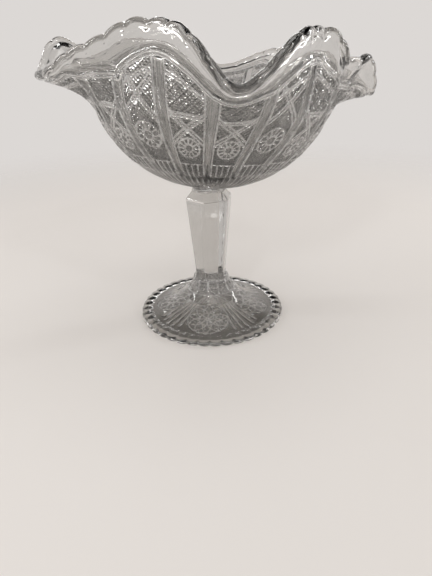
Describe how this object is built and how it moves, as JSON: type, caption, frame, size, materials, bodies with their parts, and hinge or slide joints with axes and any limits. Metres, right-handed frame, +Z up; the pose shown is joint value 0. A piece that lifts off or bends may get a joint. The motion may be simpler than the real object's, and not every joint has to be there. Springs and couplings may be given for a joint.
{
  "type": "footed glass bowl",
  "caption": "Clear pressed-glass bowl with a ruffled, scalloped rim on a tapering hexagonal stem and a round scalloped foot, for fruit or sweets.",
  "frame": {"origin": "middle of the foot's flat underside, on the surface that the bowl stands on", "axes": "+Z up through the stem; +X to the right as the bowl faces the viewer, along its widest reach from one valley of the rim to the opposite one; -Y towards the viewer, through the front valley"},
  "size_m": [0.2499, 0.2343, 0.2313],
  "materials": {
    "clear_glass": "clear colourless pressed glass, fire-polished"
  },
  "bodies": {
    "root": {"foot": "clear_glass", "stem": "clear_glass", "wafer": "clear_glass", "bowl": "clear_glass"}
  },
  "joints": []
}
